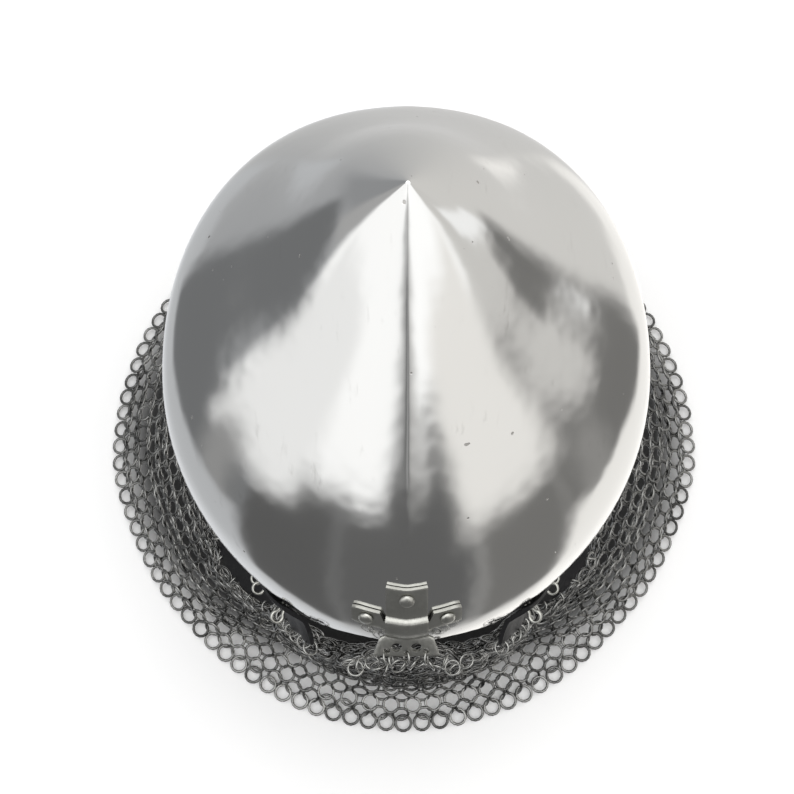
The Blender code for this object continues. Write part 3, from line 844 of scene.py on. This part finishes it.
# %% The leather band
leather_thickness = 0.0020
leather_clearance = 0.0007
leather_lap = 0.012
leather_reach = 0.010
leather_stand = 0.007
jaw_flare = 0.008
jaw_flare_half_length = 0.030
leather_front_start = 0.042
leather_step = 0.0025

keep = bowl_point(edge_turn, edge_height)[:, 0] >= leather_front_start
keep |= edge_height < opening_height * 0.5
band_turn, band_height, band_run = even_line(bowl_point(edge_turn[keep], edge_height[keep]), leather_step,
                                             edge_turn[keep], edge_height[keep])


def band_sections():
    """Along the half band: the edge point, its outward normal, the way off the steel and the flare."""
    points = bowl_point(band_turn, band_height)
    normals = bowl_normal(band_turn, np.maximum(band_height, 0.0015))
    before = np.concatenate([points[:1], points[:-1]])
    after = np.concatenate([points[1:], points[-2:-1] * [-1, 1, 1]])
    along = after - before
    off = np.cross(along, normals)
    off /= np.linalg.norm(off, axis=1, keepdims=True)
    for _ in range(3):
        off[1:-1] = (off[:-2] + off[1:-1] * 2 + off[2:]) / 4
        off /= np.linalg.norm(off, axis=1, keepdims=True)
    jaw = np.argmax(band_height < 0.0002)
    away = np.clip(np.abs(band_run - band_run[jaw]) / jaw_flare_half_length, 0, 1)
    return points, normals, off, jaw_flare * np.cos(math.pi / 2 * away) ** 2


def band_line(share):
    """The band's middle surface: share -1 is the lap's edge, 0 the steel's edge and 1 the free edge."""
    points, normals, off, flare = band_sections()
    base = points + normals * (leather_clearance + leather_thickness / 2)
    if share <= 0:
        return base + off * leather_lap * share
    wave = 0.0005 * np.sin(band_run / 0.0185 * 2 * math.pi) * share
    rise = share ** 1.4
    base = base + off * ((leather_reach + flare) * share)[:, None]
    return base + normals * ((leather_stand + flare) * rise + wave)[:, None]


def mirrored_line(points):
    """A half line and its other side, as one line from one front end to the other."""
    return np.concatenate([points, points[-2::-1] * [-1, 1, 1]])


def build_band():
    """The band as a closed hide with round edges."""
    shares = np.array([-1, -0.9, -0.7, -0.5, -0.3, -0.1, 0.05, 0.2, 0.4, 0.6, 0.8, 0.93, 1.0])
    middle = np.array([mirrored_line(band_line(s)) for s in shares])
    rows, columns = middle.shape[:2]
    along = np.gradient(middle, axis=1)
    across = np.gradient(middle, axis=0)
    normal = np.cross(along, across)
    normal /= np.linalg.norm(normal, axis=2, keepdims=True)
    outward = mirrored_line(band_sections()[1])
    if (normal[2] * outward).sum(axis=1).mean() < 0:
        normal = -normal
    full = np.ones(rows)
    full[[0, -1]] = 0.55
    full[[1, -2]] = 0.92
    half = leather_thickness / 2 * full[:, None, None]
    upper, lower = middle + normal * half, middle - normal * half
    vertices = np.concatenate([upper.reshape(-1, 3), lower.reshape(-1, 3)])
    offset = rows * columns
    faces = grid_faces(rows, columns, False)
    faces += [tuple(i + offset for i in f)[::-1] for f in grid_faces(rows, columns, False)]
    for c in range(columns - 1):
        faces.append((c + 1, c, offset + c, offset + c + 1))
        end = (rows - 1) * columns
        faces.append((end + c, end + c + 1, offset + end + c + 1, offset + end + c))
    for r in range(rows - 1):
        a, b = r * columns, (r + 1) * columns
        faces.append((a, b, offset + b, offset + a))
        a, b = a + columns - 1, b + columns - 1
        faces.append((b, a, offset + a, offset + b))
    band = new_piece("leather_hide", vertices, faces, hide)
    band.data.set_sharp_from_angle(angle=math.radians(70))
    return band


band = build_band()
print("band:", triangles(band), "triangles,", round(2 * band_run[-1], 3), "m long")

# %% [markdown]
# Links and staples repeat, so Geometry Nodes set them. A small mesh of points says
# where each goes: the point's `facing` is the way the piece's own Z looks and its `along` is
# its X. The tree turns an instance to them, adds a little seeded disorder, realizes the
# result and gives it its finish.

# %% A tree that sets pieces on points
def piece_setter():
    """A node tree with named inputs that sets one piece on every point."""
    tree = bpy.data.node_groups.new("set_pieces", "GeometryNodeTree")
    inputs = {"Geometry": "Geometry", "Piece": "Object", "Disorder": "Float", "Seed": "Int",
              "Finish": "Material"}
    for name, kind in inputs.items():
        tree.interface.new_socket(name, in_out="INPUT", socket_type="NodeSocket" + kind)
    tree.interface.new_socket("Geometry", in_out="OUTPUT", socket_type="NodeSocketGeometry")
    board = Board(tree)
    points, template, disorder, seed, finish = (board.node("NodeGroupInput", output=name) for name in inputs)
    vectors = {"data_type": "FLOAT_VECTOR"}
    facing, along = (board.node("GeometryNodeInputNamedAttribute", vectors, {"Name": name})
                     for name in ("facing", "along"))
    turned = board.node("FunctionNodeAxesToRotation", {"primary_axis": "Z", "secondary_axis": "X"},
                        {"Primary Axis": facing, "Secondary Axis": along})
    spread = board.node("FunctionNodeRandomValue", vectors,
                        {"Min": disorder * -1.0, "Max": disorder, "Seed": seed})
    tilted = board.node("FunctionNodeRotateRotation", {"rotation_space": "LOCAL"},
                        {"Rotation": turned, "Rotate By": spread})
    shape = board.node("GeometryNodeObjectInfo", None, {"Object": template}, "Geometry")
    instances = board.node("GeometryNodeInstanceOnPoints", None,
                           {"Points": points, "Instance": shape, "Rotation": tilted})
    realized = board.node("GeometryNodeRealizeInstances", None, {"Geometry": instances})
    smooth = board.node("GeometryNodeSetShadeSmooth", None, {"Geometry": realized})
    finished = board.node("GeometryNodeSetMaterial", None, {"Geometry": smooth, "Material": finish})
    board.link(finished, tree.nodes.new("NodeGroupOutput").inputs["Geometry"])
    return tree


setter = piece_setter()


def set_pieces(name, template, places, facing, along, finish, disorder=0.0, seed=1, tones_and_painted_shade=None):
    """One mesh of a template set on every place."""
    points = bpy.data.meshes.new(name)
    points.from_pydata([tuple(p) for p in places], [], [])
    for attribute, values in (("facing", facing), ("along", along)):
        stored = points.attributes.new(attribute, "FLOAT_VECTOR", "POINT")
        stored.data.foreach_set("vector", np.asarray(values, float).ravel())
    if tones_and_painted_shade is not None:
        stored = points.attributes.new("link_shade", "FLOAT", "POINT")
        stored.data.foreach_set("value", np.asarray(tones_and_painted_shade, float))
    piece = bpy.data.objects.new(name, points)
    bpy.context.scene.collection.objects.link(piece)
    nodes = piece.modifiers.new("set_pieces", "NODES")
    nodes.node_group = setter
    inputs = {item.name: item.identifier for item in setter.interface.items_tree if item.in_out == "INPUT"}
    nodes[inputs["Piece"]] = template
    nodes[inputs["Disorder"]] = disorder
    nodes[inputs["Seed"]] = seed
    nodes[inputs["Finish"]] = finish.material
    settle(piece)
    for attribute in ("facing", "along"):
        if attribute in piece.data.attributes:
            piece.data.attributes.remove(piece.data.attributes[attribute])
    return piece


def tube_template(name, centreline, radius, sides, closed):
    """A wire along a centreline, as a mesh to set on points."""
    curve = bpy.data.curves.new(name, "CURVE")
    curve.dimensions = "3D"
    curve.bevel_depth = radius
    curve.bevel_resolution = (sides - 4) // 2
    curve.use_fill_caps = not closed
    spline = curve.splines.new("POLY")
    spline.points.add(len(centreline) - 1)
    for point, place in zip(spline.points, centreline):
        point.co = (*place, 1)
    spline.use_cyclic_u = closed
    drawn = bpy.data.objects.new(name, curve)
    bpy.context.scene.collection.objects.link(drawn)
    bpy.context.view_layer.update()
    mesh = bpy.data.meshes.new_from_object(drawn.evaluated_get(bpy.context.evaluated_depsgraph_get()))
    bpy.data.objects.remove(drawn, do_unlink=True)
    form = bmesh.new()
    form.from_mesh(mesh)
    bmesh.ops.remove_doubles(form, verts=form.verts, dist=0.00001)
    bmesh.ops.recalc_face_normals(form, faces=form.faces)
    form.to_mesh(mesh)
    form.free()
    return bpy.data.objects.new(name, mesh)


# %% [markdown]
# Staples, called vervelles, pass through the leather and the steel and stand out as small
# eyes. On the real helmet a wire runs through them. Each is a short loop of wire.

# %% The staples
staple_wire = 0.0014
staple_eye_radius = 0.0025
staple_leg_inside = 0.0016
staple_inset = 0.006
first_staple = 0.006
staple_pitch = 0.043
cad_leather_step = 0.010

leg = staple_wire / 2 + clearance
shoulder = leather_clearance + leather_thickness
eye_height = shoulder + staple_eye_radius + staple_wire
loop = [(leg, 0, -plate_thickness - staple_leg_inside), (leg, 0, shoulder)]
for angle in np.radians(np.linspace(-50, 230, 19)):
    loop.append((staple_eye_radius * math.cos(angle), 0, eye_height + staple_eye_radius * math.sin(angle)))
loop += [(-leg, 0, shoulder), (-leg, 0, -plate_thickness - staple_leg_inside)]
staple_template = tube_template("staple_loop", loop, staple_wire / 2, 12, False)

points, normals, off, flare = band_sections()
staple_places, staple_facing, staple_along = [], [], []
for k in range(int(band_run[-1] / staple_pitch) + 1):
    run = min(round((first_staple + k * staple_pitch) / cad_leather_step) * cad_leather_step, band_run[-1])
    i = int(np.argmin(np.abs(band_run - run)))
    for side in (1, -1):
        flip = np.array([side, 1, 1])
        staple_places.append((points[i] - off[i] * staple_inset) * flip)
        staple_facing.append(normals[i] * flip)
        staple_along.append(off[i] * flip)
        if abs(points[i][0]) < 0.004:
            break
staples = set_pieces("staples", staple_template, staple_places, staple_facing, staple_along,
                     fittings, 0.05, 3)
print("staples:", len(staple_places), triangles(staples), "triangles")

# %% [markdown]
# The mail hangs from the leather's free edge and the nasal's lip, and spreads on the table.
# Its form is a table of profiles: before the face it falls steeply, drawn in under the nasal,
# and ends in a nearly flat brim. At the sides and back it is a cone.

# %% The mail's form
hem_half_width = 0.152
hem_half_length = 0.150
hem_centre = 0.020
face_edge_dip = 0.018
mail_tuck = 0.019
mail_lead = 0.004
mail_gap = 0.0008
front_profile_end = math.radians(15)
side_profile_start = math.radians(60)
hem_folds = [(0, 1.000), (25, 0.990), (50, 0.970), (72, 0.985), (86, 1.012), (115, 1.008), (180, 1.000)]
mail_profile = np.array([
    # front down, front out, front tuck, side down, side out
    (0.00, 0.00, 0.00, 0.00, 0.00),
    (0.14, 0.05, 0.44, 0.12, 0.09),
    (0.30, 0.15, 0.79, 0.26, 0.20),
    (0.48, 0.25, 0.90, 0.40, 0.33),
    (0.66, 0.40, 0.95, 0.55, 0.47),
    (0.82, 0.50, 1.00, 0.69, 0.61),
    (0.92, 0.60, 0.98, 0.82, 0.75),
    (0.97, 0.80, 0.53, 0.92, 0.88),
    (1.00, 1.00, 0.00, 1.00, 1.00),
])


def mail_top():
    """The mail's top edge on one side, from the nasal's middle to the back, and the way it leaves it."""
    free = band_line(1.0)
    way = free - band_line(0.8)
    way /= np.linalg.norm(way, axis=1, keepdims=True)
    leather_edge = free + way * mail_gap
    lip_way = np.array([0, -math.cos(lip_slope), -math.sin(lip_slope)])
    down = np.array([0, 0, -1.0])
    edge, ways = [lip_end[8] + lip_way * mail_gap], [lip_way]
    corner = lip_end[-1] + lip_way * mail_gap
    for share in np.linspace(0, 1, 24)[:-1]:
        under_eye = corner + (leather_edge[0] - corner) * share
        under_eye = under_eye + down * face_edge_dip * math.sin(math.pi * share)
        lean = down + way[0] * share + lip_way * (1 - share)
        edge.append(under_eye)
        ways.append(lean / np.linalg.norm(lean))
    return np.concatenate([edge, leather_edge]), np.concatenate([ways, way])


def column_grid(turns_wanted, samples=90):
    """The mail's columns at even turns: points from the hem up, and how far each is along from the hem."""
    edge, ways = mail_top()
    turns = np.arctan2(edge[:, 0], hem_centre - edge[:, 1])
    ahead = np.maximum.accumulate(turns)
    rising = np.concatenate([[True], ahead[1:] > ahead[:-1] + 1e-6])
    turns, edge, ways = turns[rising], edge[rising], ways[rising]
    edge = np.stack([np.interp(turns_wanted, turns, edge[:, k]) for k in range(3)], axis=1)
    ways = np.stack([np.interp(turns_wanted, turns, ways[:, k]) for k in range(3)], axis=1)
    start = edge + ways * mail_lead
    radius = np.hypot(start[:, 0], hem_centre - start[:, 1])
    folds = np.interp(np.degrees(turns_wanted), [row[0] for row in hem_folds], [row[1] for row in hem_folds])
    hem = folds / np.hypot(np.sin(turns_wanted) / hem_half_width, np.cos(turns_wanted) / hem_half_length)
    side = np.clip((turns_wanted - front_profile_end) / (side_profile_start - front_profile_end), 0, 1)
    side = side * side * (3 - 2 * side)
    controls = [edge]
    for front_down, front_out, tuck, side_down, side_out in mail_profile:
        down = front_down + (side_down - front_down) * side
        out = front_out + (side_out - front_out) * side
        reach = radius + (hem - radius) * out - mail_tuck * tuck * (1 - side)
        height = start[:, 2] + (-hem_below_seat - start[:, 2]) * down
        controls.append(np.stack([reach * np.sin(turns_wanted), hem_centre - reach * np.cos(turns_wanted),
                                  height], axis=1))
    last = len(controls) - 1
    line = smooth_curve(np.arange(last + 1), np.array(controls[::-1]))(np.linspace(0, last, samples))
    runs = np.concatenate([np.zeros((1, len(turns_wanted))),
                           np.cumsum(np.linalg.norm(np.diff(line, axis=0), axis=2), axis=0)])
    return line, runs


grid_turns = np.radians(np.linspace(0, 180, 361))
grid_lines, grid_runs = column_grid(grid_turns)
grid_top = grid_runs[-1]


def mail_point(turn, up):
    """Points on the mail's middle surface at turns, a way up from the hem along it."""
    turn = (np.asarray(turn, float) + math.pi) % (2 * math.pi) - math.pi
    up = np.broadcast_to(np.asarray(up, float), turn.shape)
    away = np.abs(turn) / (grid_turns[1] - grid_turns[0])
    low = np.clip(away.astype(int), 0, len(grid_turns) - 2)
    share = (away - low)[:, None]
    found = []
    for column in (low, low + 1):
        place = np.empty((len(turn), 3))
        for n, c in enumerate(column):
            for k in range(3):
                place[n, k] = np.interp(up[n], grid_runs[:, c], grid_lines[:, c, k])
        found.append(place)
    point = found[0] * (1 - share) + found[1] * share
    point[:, 0] *= np.sign(turn) + (turn == 0)
    return point


def top_at(turn):
    """How far up the mail reaches at turns."""
    turn = np.abs((np.asarray(turn, float) + math.pi) % (2 * math.pi) - math.pi)
    return np.interp(turn, grid_turns, grid_top)


hem_round = 2 * float(np.linalg.norm(np.diff(grid_lines[0], axis=0), axis=1).sum())
print("mail: hem", round(hem_round, 3), "m round, fall", round(float(grid_top[0]), 3), "m in front and",
      round(float(grid_top[-1]), 3), "m behind")

# %% [markdown]
# In this mail each link holds four others: two in the row above and two below. So each row
# sits half a pitch along from its neighbour, and rows lean by turns one way and the other. As
# the cone narrows upwards, a row has fewer links than the one below it: the mailmaker leaves
# out a link here and there, and the rest shift to close the gap.

# %% Where the links go
link_radius = 0.00400
wire_radius = 0.00074
link_pitch = 0.0092
row_spacing = 0.0050
link_lean = math.radians(18)
first_row = 0.0042
below_edge = 0.0024
eye_gap = 0.016
eye_gap_start, eye_gap_end, eye_gap_soft = 0.03, 0.44, 0.07
adjacent = 1.6
left_out_apart = 7
end_link_radius = 0.13
evening_passes = 6
evening_pull = 0.25


def arc_between(a, b, up):
    """The distance between points at two turns of a row."""
    return np.linalg.norm(mail_point(b, up) - mail_point(a, up), axis=1)


def last_way_up(turns):
    """How far up the last link of each column may lie: lower under the eyes, where the mail sags."""
    away = np.abs(turns)
    begun = np.clip((away - eye_gap_start) / eye_gap_soft, 0, 1)
    ended = np.clip((eye_gap_end - away) / eye_gap_soft, 0, 1)
    return top_at(turns) - below_edge - eye_gap * begun * ended


def next_row(turns, up):
    """The turns of the row above: halfway between neighbours, with links left out where they crowd."""
    following = np.roll(turns, -1)
    following[-1] += 2 * math.pi
    gaps = arc_between(turns, following, up)
    joined = gaps < adjacent * link_pitch
    middles = ((turns + following) / 2)[joined]
    room = gaps[joined]
    spare = int(round(len(room) - room.sum() / link_pitch))
    left_out = []
    for i in np.argsort(room):
        if len(left_out) >= spare:
            break
        if all(min(abs(i - j), len(room) - abs(i - j)) > left_out_apart for j in left_out):
            left_out.append(i)
    middles = np.delete(middles, left_out)
    ends = []
    step = link_pitch / 2 / end_link_radius
    for i in np.flatnonzero(~joined):
        ends += [turns[i] + step, following[i] - step]
    row = np.concatenate([middles, ends]) if ends else middles
    row = np.sort((row + math.pi) % (2 * math.pi) - math.pi)
    for _ in range(evening_passes):
        after, before = np.roll(row, -1), np.roll(row, 1)
        after[-1] += 2 * math.pi
        before[0] -= 2 * math.pi
        ahead, behind = arc_between(row, after, up), arc_between(before, row, up)
        inner = (ahead < adjacent * link_pitch * 1.3) & (behind < adjacent * link_pitch * 1.3)
        pull = np.where(inner, (ahead - behind) / np.maximum(ahead + behind, 1e-9), 0)
        row = row + evening_pull * pull * (after - before) / 2
    return row[up <= last_way_up(row)]


def lay_rows():
    """Every row of links from the hem up, as turns and the way up."""
    fine = np.linspace(-math.pi, math.pi, 1441)
    up = first_row
    places = mail_point(fine, up)
    runs = np.concatenate([[0], np.cumsum(np.linalg.norm(np.diff(places, axis=0), axis=1))])
    count = round(runs[-1] / link_pitch)
    row = np.interp((np.arange(count) + 0.5) * runs[-1] / count, runs, fine)
    rows = [(row, up)]
    while True:
        up += row_spacing
        row = next_row(row, up)
        if len(row) < 2:
            break
        rows.append((row, up))
    return rows


rows = lay_rows()
print("rows:", len(rows), "links at the hem:", len(rows[0][0]), "links in all:",
      sum(len(row) for row, _ in rows))

# %% [markdown]
# A link's own directions come from the form under it: along the row, up the mail, and out.
# Where the mail is bunched under the nasal, the links are thrown about more, and the sheet
# folds in and out. There the links' colour is also painted darker, as painted shade.

# %% The links
jumble_half_turn = math.radians(24)
fold_height, fold_length = 0.0022, 0.021
wave_height, wave_length = 0.0006, 0.034
uneven_lift, uneven_place, uneven_tilt = 0.00012, 0.00015, 0.05
jumbled_tilt = 5
jumble_painted_shade = 0.85


def link_frames():
    """For every link: its place, the way its ring faces, the way along its row, and its random tone, lowered
    under the nasal as painted shade.
    """
    generator = np.random.default_rng(11)
    places, facing, along, tones_and_painted_shade, turns = [], [], [], [], []
    for number, (row, up) in enumerate(rows):
        small = 0.02
        here = mail_point(row, up)
        by = mail_point(row + small, up) - mail_point(row - small, up)
        rise = mail_point(row, up + 0.0015) - mail_point(row, up - 0.0015)
        by /= np.linalg.norm(by, axis=1, keepdims=True)
        rise -= by * (rise * by).sum(axis=1, keepdims=True)
        rise /= np.linalg.norm(rise, axis=1, keepdims=True)
        out = np.cross(by, rise)
        lean = -link_lean if number % 2 else link_lean
        steep = np.clip((here[:, 2] + 0.292) / 0.02, 0, 1) * np.clip((-0.125 - here[:, 2]) / 0.03, 0, 1)
        jumble = np.clip(1 - np.abs(row) / jumble_half_turn, 0, 1) * steep
        fold = fold_height * np.sin(up / fold_length * 2 * math.pi + 2.2 * np.sin(row * 9))
        wave = wave_height * np.sin(up / wave_length * 2 * math.pi + row * 5) * np.clip(up / 0.02, 0, 1)
        lift = fold * jumble + wave + generator.normal(0, uneven_lift, len(row))
        tilt = generator.normal(0, uneven_tilt, (len(row), 2)) * (1 + jumbled_tilt * jumble)[:, None]
        angle = lean + tilt[:, 0]
        face = out * np.cos(angle)[:, None] + rise * np.sin(angle)[:, None] + by * tilt[:, 1:]
        places.append(here + out * lift[:, None] + by * generator.normal(0, uneven_place, (len(row), 1)))
        facing.append(face / np.linalg.norm(face, axis=1, keepdims=True))
        along.append(by)
        # painted shade: the random tone is lowered where the mail bunches under the nasal
        tones_and_painted_shade.append(generator.random(len(row)) * (1 - jumble_painted_shade * jumble))
        turns.append(row)
    return [np.concatenate(x) for x in (places, facing, along, tones_and_painted_shade, turns)]


def ring_template(name, ring_radius, wire):
    """A round link of 14 steps, of wire with 6 sides."""
    angles = np.linspace(0, 2 * math.pi, 15)[:-1]
    circle = [(ring_radius * math.cos(a), ring_radius * math.sin(a), 0) for a in angles]
    return tube_template(name, circle, wire, 6, True)


link_template = ring_template("mail_link", link_radius, wire_radius)
places, facing, along, tones_and_painted_shade, turns = link_frames()
mail_pieces = []
for name, low, high in (("mail_front", -0.9, 0.9), ("mail_left", 0.9, 4.0), ("mail_right", -4.0, -0.9)):
    chosen = (turns >= low) & (turns < high)
    piece = set_pieces(name, link_template, places[chosen], facing[chosen], along[chosen],
                       wire_steel, 0.0, 5, tones_and_painted_shade[chosen])
    mail_pieces.append(piece)
    print(name, int(chosen.sum()), "links", triangles(piece), "triangles")

# %% [markdown]
# The top row is sewn on by links that pass through the leather's free edge. They are smaller
# and of brighter wire than the rest, and stand across the edge. Three more pass through the
# lip's small holes, and a loose bunch of them hangs under the lip.

# %% The links through the leather and the lip
edge_link_pitch = 0.0082
edge_link_inset = 0.0014
edge_link_radius = 0.0031
edge_wire_radius = 0.00042
bunched_links = 17
bunch_half_width = 0.024
free_edge, edge_way = band_line(1.0), band_line(1.0) - band_line(0.8)
edge_way /= np.linalg.norm(edge_way, axis=1, keepdims=True)
edge_out = band_sections()[1]
edge_by = np.gradient(free_edge, axis=0)
edge_by /= np.linalg.norm(edge_by, axis=1, keepdims=True)
edge_places, edge_facing, edge_along = [], [], []
for run in np.arange(0.003, band_run[-1] - 0.002, edge_link_pitch):
    i = int(np.argmin(np.abs(band_run - run)))
    centre = free_edge[i] + edge_way[i] * (edge_link_radius - edge_link_inset)
    for side in (1, -1):
        flip = np.array([side, 1, 1])
        edge_places.append(centre * flip)
        edge_facing.append(edge_by[i] * flip)
        edge_along.append(edge_way[i] * flip)
for placement, radius in nasal_holes[:3]:
    hole = np.array(placement.translation)
    lip_way = np.array([0, -math.cos(lip_slope), -math.sin(lip_slope)])
    edge_places.append(hole + lip_way * (edge_link_radius - 0.0002))
    edge_facing.append([1, 0.1, 0.1])
    edge_along.append(lip_way)
generator = np.random.default_rng(4)
for spot in np.linspace(-bunch_half_width, bunch_half_width, bunched_links):
    beside, out, down = generator.uniform((spot - 0.001, 0.000, -0.009), (spot + 0.001, 0.006, -0.001))
    edge_places.append(lip_end[8] + lip_way * out + np.array([beside, 0, down - abs(beside) * 0.1]))
    edge_facing.append(generator.normal(0, 1, 3))
    edge_along.append(generator.normal(0, 1, 3))
edge_template = ring_template("edge_link", edge_link_radius, edge_wire_radius)
edge_links = set_pieces("edge_links", edge_template, edge_places, edge_facing, edge_along,
                        bright_wire, 0.35, 7)
mail_pieces.append(edge_links)
print("links through the edge:", len(edge_places))

# %% [markdown]
# Last, each piece is hung on the helmet's one body, and the imported parts that the pieces
# stand for are hidden. The helmet has no joint, so everything rides on that body.

# %% Tie the pieces to the imported model
for piece in [bowl, nasal, bracket, band, staples] + list(rivet_pieces.values()) + mail_pieces:
    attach(piece, "root")
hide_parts("bowl")
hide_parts("nasal_plate")
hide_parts("nasal_bracket")
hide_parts("leather_band")
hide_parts(*[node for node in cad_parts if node.startswith("vervelle")])
for node, piece in rivet_pieces.items():
    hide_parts(node)
for piece in mail_pieces[:3]:
    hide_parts("aventail")
